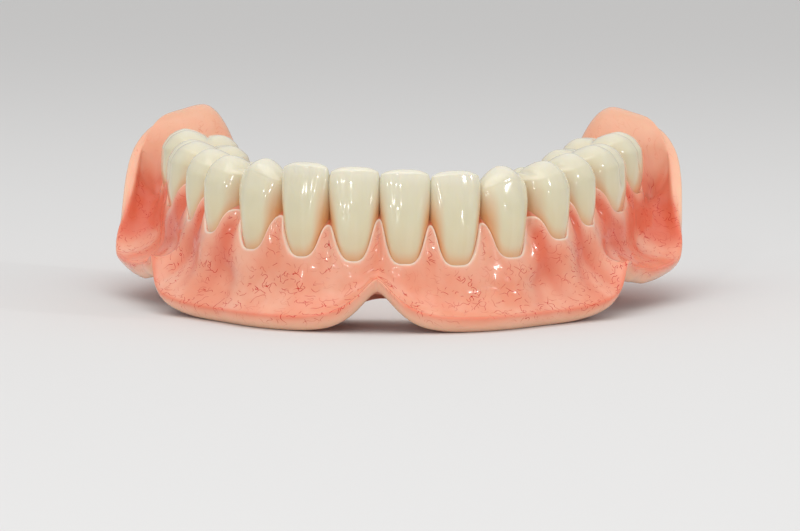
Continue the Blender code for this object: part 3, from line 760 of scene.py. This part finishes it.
def grid_mesh(name, grid, values, split):
    """A closed mesh over a grid of points (rows, columns, 3) whose columns are joined round.

    Both ends are closed with a ladder of faces from the columns up to split across to the others. values
    holds numbers for each point of the grid, which become attributes of the mesh.
    """
    rows, columns = grid.shape[:2]
    index = np.arange(rows * columns).reshape(rows, columns)
    beside = np.roll(index, -1, axis=1)
    quads = np.stack([index[:-1], beside[:-1], beside[1:], index[1:]], axis=-1).reshape(-1, 4)
    start = ladder(index[0], split)
    finish = [face[::-1] for face in ladder(index[-1], split)]
    mesh = bpy.data.meshes.new(name)
    mesh.from_pydata(grid.reshape(-1, 3).tolist(), [], quads.tolist() + start + finish)
    for key, value in values.items():
        layer = mesh.attributes.new(key, "FLOAT", "POINT")
        layer.data.foreach_set("value", np.ascontiguousarray(value, np.float32).ravel())
    mesh.update()
    mesh.shade_smooth()
    return placed(name, mesh)


def base_piece():
    """The pink acrylic base, with the values that its material reads."""
    along = section_places()[::-1]
    over, under, gum = section_points(along)
    over, under = rounded_at_heels(over, under, along)
    loops = through(np.concatenate([over, under], axis=1), OVER_COUNTS + UNDER_COUNTS)
    steps = np.linalg.norm(np.diff(loops, axis=1, prepend=loops[:, :1]), axis=2)
    profile = np.cumsum(steps, axis=1)
    place = ARCH.place(along)[:, None]

    upper = sum(OVER_COUNTS[:-1])
    column = np.arange(loops.shape[1])[None, :]
    polished = (column <= upper).astype(float)
    from_inner_rim = profile[:, upper : upper + 1] - profile
    from_rim = np.where(column <= upper, np.minimum(profile, from_inner_rim), 1.0)

    normal = right_of(np.roll(loops, -1, axis=1) - np.roll(loops, 1, axis=1))
    # The border groove is cut into the surface, and its colour is darkened along it as painted shade.
    groove = bump(from_rim - BORDER_GROOVE_AT, BORDER_GROOVE_WIDTH, 2) * polished
    groove = groove * (1 - step_up(place, *GROOVE_END))
    loops = loops + normal * (groove * BORDER_GROOVE_DEPTH)[..., None]

    outer_half = profile < profile[:, sum(OVER_COUNTS[:OUTER_HALF_END])][:, None]
    margin_z = np.where(outer_half, gum["outer_z"][:, None], gum["inner_z"][:, None])
    below_margin = (margin_z - loops[..., 1]) * MM_PER_METRE
    slopes = [np.gradient(gum[key], along)[:, None] for key in ("outer_z", "inner_z")]
    from_margin = below_margin / np.sqrt(1 + np.where(outer_half, *slopes) ** 2)
    root = gum["root"][:, None] / max(ROOT_BULGES)
    # Painted shade: darker red in the valleys between the root bulges and in the hollow beside the molars.
    depth = step_up(below_margin, *VALLEY_TOP_MM) * (1 - step_up(below_margin, *VALLEY_FOOT_MM))
    valley_shade = np.clip(VALLEY_ROOT_SHARE - root, 0, 1) * depth * polished
    valley_shade = valley_shade * step_up(place, *VALLEY_START) * (1 - step_up(place, *VALLEY_END))
    shade_height = bump(below_margin - MOLAR_SHADE_BELOW_MM, MOLAR_SHADE_HALF_DEPTH_MM, 2)
    beside_molars = bump(place - MOLAR_SHADE_PLACE, MOLAR_SHADE_HALF_LENGTH, 2) * shade_height * polished
    heel = step_up(place, *HEEL_COLOUR_START) * np.ones_like(from_rim)
    # Painted light: the rolled lower border, which faces down, is paler as if lit by light thrown back from
    # below.
    border = bump(from_rim, BORDER_WIDTH, 4) * polished * (1 - HEEL_BORDER_LOSS * heel)
    # Painted shade: the gum behind the papillae, between the teeth, is a deeper orange.
    contact = np.abs((place % 1.0) * 2 - 1) ** RECESS_POWER * (place < len(TEETH))
    floor_start, floor_end = (sum(OVER_COUNTS[:k]) for k in TEETH_FLOOR)
    top = (column > floor_start) & (column < floor_end)
    # Painted highlight: a bright thin glint line along the gum margins of the front teeth.
    edge = bump(from_margin, EDGE_WIDTH_MM, 2) * polished * (1 - top)
    centres, outward = ARCH.point(along), ARCH.outward(along)
    plan = centres[:, None] + outward[:, None] * loops[..., :1]
    grid = np.concatenate([plan, loops[..., 1:].clip(0, None)], axis=-1)
    values = {
        "arch_mm": np.broadcast_to(along[:, None] * MM_PER_METRE, from_rim.shape),
        "profile_mm": profile * MM_PER_METRE,
        "valley_shade": np.clip(valley_shade + MOLAR_SHADE * beside_molars, 0, 1),
        "heel": heel,
        "border": border,
        "groove": groove,
        "embrasure_shade": contact * top,
        # Painted highlight: paler gum along the margins.
        "margin": bump(from_margin, MARGIN_WIDTH_MM, 2) * polished,
        "edge": edge * (1 - step_up(place, *EDGE_END)),
    }
    base = grid_mesh("pink_base", grid, values, upper)
    columns = loops.shape[1]
    faces = np.arange(len(base.data.polygons)) % columns
    underneath = (faces >= upper) & (np.arange(len(faces)) < (len(along) - 1) * columns)
    base.data.polygons.foreach_set("material_index", underneath.astype(np.int32))
    return base


def cusp_heights(tooth, along, across):
    """Each cusp's slopes, down from the tip. Along is a share of half the width, across is in metres."""
    form = tooth.form
    half = tooth.width / 2
    slope = math.tan(math.radians(form.incline))
    heights = []
    for cusp in form.cusps:
        du = (along - cusp.along * form.wide[-1]) * half
        cusp_reach = tooth.front * form.front[-1] if cusp.across > 0 else tooth.back * form.back[-1]
        dw = across - cusp.across * cusp_reach
        du = np.maximum(np.abs(du) - cusp.half_along * half, 0)
        dw = np.maximum(np.abs(dw) - cusp.half_across * cusp_reach, 0)
        away = np.sqrt(du**2 + dw**2 + CUSP_RADIUS**2) - CUSP_RADIUS
        heights.append(-cusp.drop - slope * away)
    return np.stack(heights)


def relief(tooth, along, across, inside):
    """The biting surface below the tip, with fissures where inside and one cusp's slope meets the next."""
    heights = cusp_heights(tooth, along, across)
    high = heights.max(axis=0)
    surface = high + CUSP_BLEND * np.log(np.exp((heights - high) / CUSP_BLEND).sum(axis=0))
    if len(heights) == 1:
        return surface
    ordered = np.sort(heights, axis=0)
    lead = ordered[-1] - ordered[-2]
    return surface - FISSURE_DEPTH * inside * np.exp(-((lead / FISSURE_WIDTH) ** 2))


def crown_piece(seat):
    """One fine crown, standing where its CAD tooth stands."""
    tooth, form = seat.tooth, seat.tooth.form
    angles = (np.arange(CROWN_SEGMENTS) + 0.5) * 2 * math.pi / CROWN_SEGMENTS
    bottom = -TOOTH_EMBED / tooth.crown
    spread = np.linspace(0, 1, CROWN_SIDE_RINGS)
    sides = bottom + (form.shoulder - bottom) * (1 - (1 - spread) ** SIDE_RING_POWER)
    under = [bottom] * len(BOTTOM_RING_SHARES)
    levels = np.concatenate([under, sides, [form.shoulder] * CROWN_TOP_RINGS])
    inwards = np.arange(1, CROWN_TOP_RINGS + 1) / (CROWN_TOP_RINGS + 1)
    shares = np.concatenate([BOTTOM_RING_SHARES, np.ones(CROWN_SIDE_RINGS), 1 - inwards**TOP_RING_POWER])
    level, share = levels[:, None], shares[:, None]
    over_top = (level == form.shoulder) * (1 - form.shoulder)
    lifted = level + over_top * (1 - share**2) ** form.roundness

    def at(values):
        return smooth_curve(LEVELS, values, level)

    power, wide = 2 / at(form.squareness), at(form.wide)
    u, w = (np.sign(c) * np.abs(c) ** power for c in (np.cos(angles), np.sin(angles)))
    u = u * (1 - form.tongue_taper * np.clip(-w, 0, 1))
    half = seat.width / 2 * wide
    reach = np.where(w > 0, tooth.front * at(form.front), tooth.back * at(form.back))
    front = w * reach * share
    inside = step_up(1 - share, *FISSURE_START)
    drop = relief(tooth, u * share * wide, front, inside) * step_up(level, *CUSP_START)
    cheek = np.clip(w, 0, 1) ** LOBE_SIDE_POWER * share
    for groove in form.lobes:
        fade = step_up(level, groove.low + LOBE_FADE_IN[0], groove.low + LOBE_FADE_IN[1])
        fade = fade * (1 - step_up(level, groove.high, groove.high + LOBE_FADE_OUT))
        front = front - groove.depth * bump(u - groove.along, groove.half_width, 2) * fade * cheek
    sign = SIDE_SIGN[seat.side]
    x = u * half * share * sign
    grid = np.stack([x, -front, lifted * tooth.crown + drop - tooth.crown], axis=-1)
    turn = Matrix.Rotation(seat.heading, 3, "Z") @ Matrix.Rotation(math.radians(tooth.lean), 3, "X")
    grid = grid @ np.array(turn).T + np.array([seat.x, seat.y, seat.tip])
    along = sign * seat.middle + x
    margins = [np.interp(along, GUM_ALONG, GUM_LINE[key]) for key in ("outer_z", "inner_z")]
    values = {
        "height": np.clip(lifted + drop / tooth.crown, 0, 1),
        # How far to the side a point lies, for the painted amber reflection of the gum on the sides.
        "side_reflection": np.abs(u) * (BACK_TINT if len(form.cusps) > 1 else 1.0),
        # Height above the gum margin, for the warm neck and its painted glow of the gum.
        "above_mm": (grid[..., 2] - np.where(w > 0, *margins)) * MM_PER_METRE,
    }
    if sign > 0:
        grid = grid[:, ::-1]
        values = {key: value[:, ::-1] for key, value in values.items()}
    obj = grid_mesh(f"crown_{tooth.name}_{seat.side}", grid, values, CROWN_SEGMENTS // 2)
    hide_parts(f"{tooth.name}_{seat.side}")
    return obj


class Nodes:
    """Short ways to make and join the nodes of one material."""

    def __init__(self, name):
        self.material = bpy.data.materials.new(name)
        self.material.use_nodes = True
        self.tree = self.material.node_tree
        self.shader = self.tree.nodes["Principled BSDF"]

    def join(self, value, socket):
        """Puts a constant or another node's output into a socket."""
        if isinstance(value, bpy.types.NodeSocket):
            self.tree.links.new(value, socket)
        else:
            socket.default_value = value

    def fill(self, node, values):
        """Gives a node's inputs, by name, a constant or another node's output."""
        for name, value in values.items():
            self.join(value, node.inputs[name])
        return node

    def settings(self, values):
        self.fill(self.shader, values)

    def node(self, kind, *values, **options):
        """A new node with its options set and its first inputs filled."""
        node = self.tree.nodes.new("ShaderNode" + kind)
        for name, option in options.items():
            setattr(node, name, option)
        for value, socket in zip(values, node.inputs):
            self.join(value, socket)
        return node

    def attribute(self, name):
        return self.node("Attribute", attribute_name=name).outputs["Fac"]

    def position(self):
        return self.node("TexCoord").outputs["Object"]

    def math(self, operation, a, b=0.0):
        return self.node("Math", a, b, operation=operation).outputs[0]

    def times(self, a, b):
        return self.math("MULTIPLY", a, b)

    def rest(self, value):
        """1 less the value."""
        return self.math("SUBTRACT", 1.0, value)

    def vector(self, operation, a, b):
        node = self.node("VectorMath", a, b, operation=operation)
        return node.outputs["Value" if operation == "LENGTH" else "Vector"]

    def combine(self, x, y, z=0.0):
        return self.node("CombineXYZ", x, y, z).outputs[0]

    def mix(self, factor, a, b):
        node = self.node("Mix", data_type="RGBA")
        return self.fill(node, {"Factor": factor, "A": a, "B": b}).outputs["Result"]

    def ramp(self, factor, stops):
        """A colour ramp; stops are (position, colour)."""
        node = self.node("ValToRGB", factor)
        elements = node.color_ramp.elements
        for position, colour in stops[1:-1]:
            elements.new(position).color = colour
        elements[0].position, elements[0].color = stops[0]
        elements[-1].position, elements[-1].color = stops[-1]
        return node.outputs["Color"]

    def smooth(self, value, low, high):
        """0 where value is under low, 1 over high."""
        return self.node("MapRange", value, low, high, interpolation_type="SMOOTHSTEP").outputs["Result"]

    def noise(self, vector, scale, detail=1.0):
        node = self.node("TexNoise", vector)
        return self.fill(node, {"Scale": scale, "Detail": detail}).outputs["Fac"]

    def bumped(self, height, distance, strength, under=None):
        values = {"Distance": distance, "Strength": strength, "Height": height}
        if under is not None:
            values["Normal"] = under
        return self.fill(self.node("Bump"), values).outputs["Normal"]


def linear(red, green, blue):
    """An sRGB colour of 0 to 255 as linear RGBA."""
    shares = [c / 255 for c in (red, green, blue)]
    values = [c / 12.92 if c <= 0.04045 else ((c + 0.055) / 1.055) ** 2.4 for c in shares]
    return (*values, 1.0)


GUM = linear(236, 154, 125)
# A paler pink: the mottle's second tone, and the painted highlight along the gum margins.
GUM_PALE_AND_HIGHLIGHT = linear(240, 178, 152)
# A darker red that paints shade into the valleys and the border groove.
GUM_SHADE_COLOUR = linear(224, 104, 76)
GUM_FIBRE = linear(200, 30, 24)
GUM_FITTING = linear(232, 150, 124)
# The attributes that tint the gum, one over the other: name, strength and colour. All but the heel paint
# light or shade into the colour.
GUM_TINTS = (
    ("valley_shade", 0.85, GUM_SHADE_COLOUR),
    ("heel", 0.85, linear(232, 182, 152)),
    ("margin", 0.7, GUM_PALE_AND_HIGHLIGHT),
    ("border", 0.9, linear(255, 206, 176)),
    ("edge", 0.9, linear(255, 232, 214)),
    ("groove", 0.5, GUM_SHADE_COLOUR),
    ("embrasure_shade", 0.85, linear(214, 104, 52)),
)
# Layers of fibres: noise cells for each millimetre, half width in millimetres, and seed.
FIBRE_LAYERS = ((0.6, 0.044, 1), (0.75, 0.042, 2), (0.95, 0.040, 3))
FIBRE_SEED_STEP = (17.3, 9.1, 0.0)
FIBRE_PROBE_MM = 0.04
FIBRE_LEAST_RISE = 0.0012
FIBRE_CORE_SHARE = 0.3
STRETCH_OFFSET = (5.7, 11.9, 0.0)
STRETCH_SCALE = 1.1
STRETCH_LIMITS = (0.52, 0.58)
FIBRE_STRENGTH = 0.8
# The fibres thin out between patches of this size, but never vanish.
PATCHES_PER_MM = 0.25
PATCH_LIMITS = (0.38, 0.6)
PATCH_FLOOR = 0.25
# The noise between which one gum colour turns into the other.
MOTTLE_LIMITS = (0.35, 0.7)

# Tooth colours from the gum line to the tip, then those of the streaks, of the sides, a painted amber
# reflection of the gum, and of the neck, partly its own warmth and partly a painted glow of the gum.
TOOTH_STOPS = (
    (0.0, linear(222, 204, 166)),
    (0.24, linear(220, 208, 173)),
    (0.5, linear(219, 212, 181)),
    (0.85, linear(222, 216, 191)),
    (1.0, linear(228, 224, 208)),
)
TOOTH_STREAK = linear(232, 226, 200)
TOOTH_SIDE_REFLECTION = linear(220, 150, 84)
TOOTH_NECK_AND_GUM_GLOW = linear(226, 160, 108)
# How places are scaled for the noise, so that streaks run up the tooth and ripples across it.
STREAK_STRETCH = (1.0, 1.0, 0.12)
RIPPLE_STRETCH = (0.5, 0.5, 1.0)
STREAK_LIMITS = (0.4, 0.7)
STREAK_STRENGTH = 0.18
# Where the painted amber reflection of the gum on the sides sets in, across and up the tooth.
SIDE_LIMITS = (0.56, 0.98)
SIDE_HEIGHTS = (0.35, 0.9)
# How far above the gum margin, in mm, the warm neck and its painted glow of the gum fade out.
NECK_LIMITS_MM = (-0.3, 1.5)
# The strength of the painted amber reflection on the sides and of the neck's tint and painted glow.
AMBER_STRENGTH = 0.85

# What the polished and the dull side of the base share: light travels a little way inside.
ACRYLIC = {
    "Subsurface Weight": 0.35,
    "Subsurface Radius": (1.0, 0.32, 0.2),
    "Subsurface Scale": 0.0012,
    "IOR": 1.49,
    "Specular IOR Level": 0.18,
}


def fibres(n, plane, per_mm, half_width, seed):
    """A mask of fine curled threads: short stretches of the lines along which a noise is at its mean."""
    at = n.vector("ADD", plane, [seed * step for step in FIBRE_SEED_STEP])
    probe = FIBRE_PROBE_MM
    here = n.noise(at, per_mm)
    beside = [n.noise(n.vector("ADD", at, step), per_mm) for step in ((probe, 0, 0), (0, probe, 0))]
    rise = n.combine(*(n.math("SUBTRACT", value, here) for value in beside))
    slope = n.math("MAXIMUM", n.vector("LENGTH", rise, (0.0, 0.0, 0.0)), FIBRE_LEAST_RISE)
    away = n.math("ABSOLUTE", n.math("SUBTRACT", here, 0.5))
    away = n.times(n.math("DIVIDE", away, slope), probe)
    line = n.rest(n.smooth(away, half_width * FIBRE_CORE_SHARE, half_width))
    stretch = n.noise(n.vector("ADD", at, STRETCH_OFFSET), per_mm * STRETCH_SCALE)
    return n.times(line, n.smooth(stretch, *STRETCH_LIMITS))


def polished_gum():
    """Pink denture acrylic, polished, with red fibres in it."""
    n = Nodes("pink_acrylic_veined")
    plane = n.combine(n.attribute("arch_mm"), n.attribute("profile_mm"))
    place = n.position()
    colour = n.mix(n.smooth(n.noise(place, scale=180, detail=3.0), *MOTTLE_LIMITS), GUM, GUM_PALE_AND_HIGHLIGHT)
    for name, strength, tint in GUM_TINTS:
        colour = n.mix(n.times(n.attribute(name), strength), colour, tint)
    first, second, third = (fibres(n, plane, *layer) for layer in FIBRE_LAYERS)
    threads = n.math("MAXIMUM", n.math("MAXIMUM", first, second), third)
    patches = n.math("ADD", n.smooth(n.noise(plane, PATCHES_PER_MM), *PATCH_LIMITS), PATCH_FLOOR)
    bare = n.times(n.rest(n.attribute("heel")), n.rest(n.attribute("border")))
    bare = n.times(bare, n.rest(n.attribute("margin")))
    depth = n.times(n.times(patches, bare), FIBRE_STRENGTH)
    colour = n.mix(n.times(threads, depth), colour, GUM_FIBRE)
    broad = n.bumped(n.noise(place, scale=260), distance=0.00012, strength=0.4)
    n.settings(ACRYLIC)
    n.settings({
        "Base Color": colour,
        "Roughness": 0.16,
        "Coat Weight": 0.22,
        "Coat Roughness": 0.05,
        "Normal": n.bumped(threads, distance=0.000006, strength=0.5, under=broad),
    })
    return n.material


def fitting_gum():
    """The side that lies on the wearer's gum: the same acrylic, left as dull as it came from the mould."""
    n = Nodes("pink_acrylic_fitting")
    place = n.position()
    ripple = n.bumped(n.noise(place, scale=420, detail=2.0), distance=0.00025, strength=0.6)
    mottle = n.smooth(n.noise(place, scale=240, detail=3.0), *MOTTLE_LIMITS)
    n.settings(ACRYLIC)
    n.settings({
        "Base Color": n.mix(mottle, GUM_FITTING, GUM),
        "Roughness": 0.5,
        "Normal": n.bumped(
            n.noise(place, scale=3200, detail=2.0), distance=0.00006, strength=0.6, under=ripple
        ),
    })
    return n.material


def acrylic_tooth():
    """Cream tooth acrylic: warm at the neck, partly with a painted glow of the gum, amber at the sides as
    painted reflection, clearer and greyer towards the biting edge.
    """
    n = Nodes("tooth_acrylic_layered")
    height = n.attribute("height")
    body = n.ramp(height, TOOTH_STOPS)
    place = n.position()
    upright = n.vector("MULTIPLY", place, STREAK_STRETCH)
    streak = n.smooth(n.noise(upright, scale=900, detail=2.0), *STREAK_LIMITS)
    body = n.mix(n.times(streak, STREAK_STRENGTH), body, TOOTH_STREAK)
    # Painted reflection: the sides of the lower crown take an amber tint from the gum beside them.
    side = n.times(n.smooth(n.attribute("side_reflection"), *SIDE_LIMITS), n.rest(n.smooth(height, *SIDE_HEIGHTS)))
    body = n.mix(n.times(side, AMBER_STRENGTH), body, TOOTH_SIDE_REFLECTION)
    # The neck is warmer near the gum margin: partly the tooth's own tint, partly a painted glow of the pink
    # gum.
    neck = n.rest(n.smooth(n.attribute("above_mm"), *NECK_LIMITS_MM))
    ripple = n.noise(n.vector("MULTIPLY", place, RIPPLE_STRETCH), scale=700)
    n.settings({
        "Base Color": n.mix(n.times(neck, AMBER_STRENGTH), body, TOOTH_NECK_AND_GUM_GLOW),
        "Roughness": 0.14,
        "Subsurface Weight": 0.45,
        "Subsurface Radius": (1.0, 0.8, 0.5),
        "Subsurface Scale": 0.0010,
        "IOR": 1.5,
        "Coat Weight": 0.4,
        "Coat Roughness": 0.04,
        "Normal": n.bumped(ripple, distance=0.00006, strength=0.5),
    })
    return n.material


FLOOR_REACH = 8.0
FLOOR_COLOUR = (0.74, 0.74, 0.74, 1)


def pale_floor():
    mesh = bpy.data.meshes.new("floor")
    corners = [(x * FLOOR_REACH, y * FLOOR_REACH, 0) for x, y in ((-1, -1), (1, -1), (1, 1), (-1, 1))]
    mesh.from_pydata(corners, [], [(0, 1, 2, 3)])
    floor = placed("floor", mesh)
    n = Nodes("pale_floor")
    n.settings({"Base Color": FLOOR_COLOUR, "Roughness": 0.9, "Specular IOR Level": 0.05})
    mesh.materials.append(n.material)


# How bright the room is at the height of the object and overhead.
ROOM_LOW = 0.42
ROOM_HIGH = 0.9
ROOM_COLOUR = (1.0, 0.99, 0.98, 1)
# The point that every light faces, then the name, place, size and power of each.
LIGHT_AIM = (0, -0.01, 0.01)
LIGHTS = (
    ("overhead", (-0.05, -0.15, 0.55), (0.60, 0.45), 0.95),
    ("front_high", (-0.085, -0.395, 0.165), (0.009, 0.016), 0.080),
    ("front_low", (-0.186, -0.400, 0.030), (0.009, 0.011), 0.080),
    ("front_slit", (-0.088, -0.430, 0.085), (0.006, 0.022), 0.060),
    ("left", (-0.265, -0.330, 0.130), (0.008, 0.018), 0.075),
    ("right_low", (0.320, -0.280, 0.028), (0.006, 0.018), 0.060),
    ("right_high", (0.352, -0.157, 0.205), (0.018, 0.018), 0.190),
)


def area_light(name, place, size, power):
    light = bpy.data.lights.new(name, "AREA")
    light.shape = "RECTANGLE"
    light.size, light.size_y = size
    light.energy = power
    obj = placed(name, light)
    obj.location = place
    obj.rotation_euler = (Vector(LIGHT_AIM) - Vector(place)).to_track_quat("-Z", "Y").to_euler()


def studio():
    """A pale room, darker low down, one broad light overhead and the small panes behind the glints."""
    world = bpy.data.worlds.new("room")
    bpy.context.scene.world = world
    world.use_nodes = True
    tree = world.node_tree
    background = tree.nodes["Background"]
    direction = tree.nodes.new("ShaderNodeTexCoord")
    split = tree.nodes.new("ShaderNodeSeparateXYZ")
    glow = tree.nodes.new("ShaderNodeMapRange")
    glow.inputs["To Min"].default_value = ROOM_LOW
    glow.inputs["To Max"].default_value = ROOM_HIGH
    tree.links.new(direction.outputs["Generated"], split.inputs[0])
    tree.links.new(split.outputs["Z"], glow.inputs["Value"])
    tree.links.new(glow.outputs["Result"], background.inputs["Strength"])
    background.inputs["Color"].default_value = ROOM_COLOUR
    for light in LIGHTS:
        area_light(*light)


def photo_camera():
    data = bpy.data.cameras.new("camera")
    data.lens = CAMERA_LENS
    data.sensor_width = CAMERA_SENSOR
    data.clip_start = 0.01
    data.clip_end = 20
    camera = placed("camera", data)
    azimuth, elevation = math.radians(CAMERA_AZIMUTH), math.radians(CAMERA_ELEVATION)
    across, up = math.cos(elevation), math.sin(elevation)
    back = Vector((math.sin(azimuth) * across, -math.cos(azimuth) * across, up))
    aim = (-back).to_track_quat("-Z", "Y").to_matrix()
    roll = Matrix.Rotation(math.radians(CAMERA_ROLL), 3, "Z")
    camera.matrix_world = Matrix.Translation(CAMERA_PLACE) @ (aim @ roll).to_4x4()
    bpy.context.scene.camera = camera


def main():
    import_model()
    tooth_material = acrylic_tooth()
    base = base_piece()
    for material in (polished_gum(), fitting_gum()):
        base.data.materials.append(material)
    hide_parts("denture_base")
    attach(base, "root")
    for seats in SEATS.values():
        for seat in seats:
            crown = crown_piece(seat)
            crown.data.materials.append(tooth_material)
            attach(crown, "root")
    pale_floor()
    studio()
    photo_camera()
    bpy.context.scene.view_settings.view_transform = "Standard"


main()
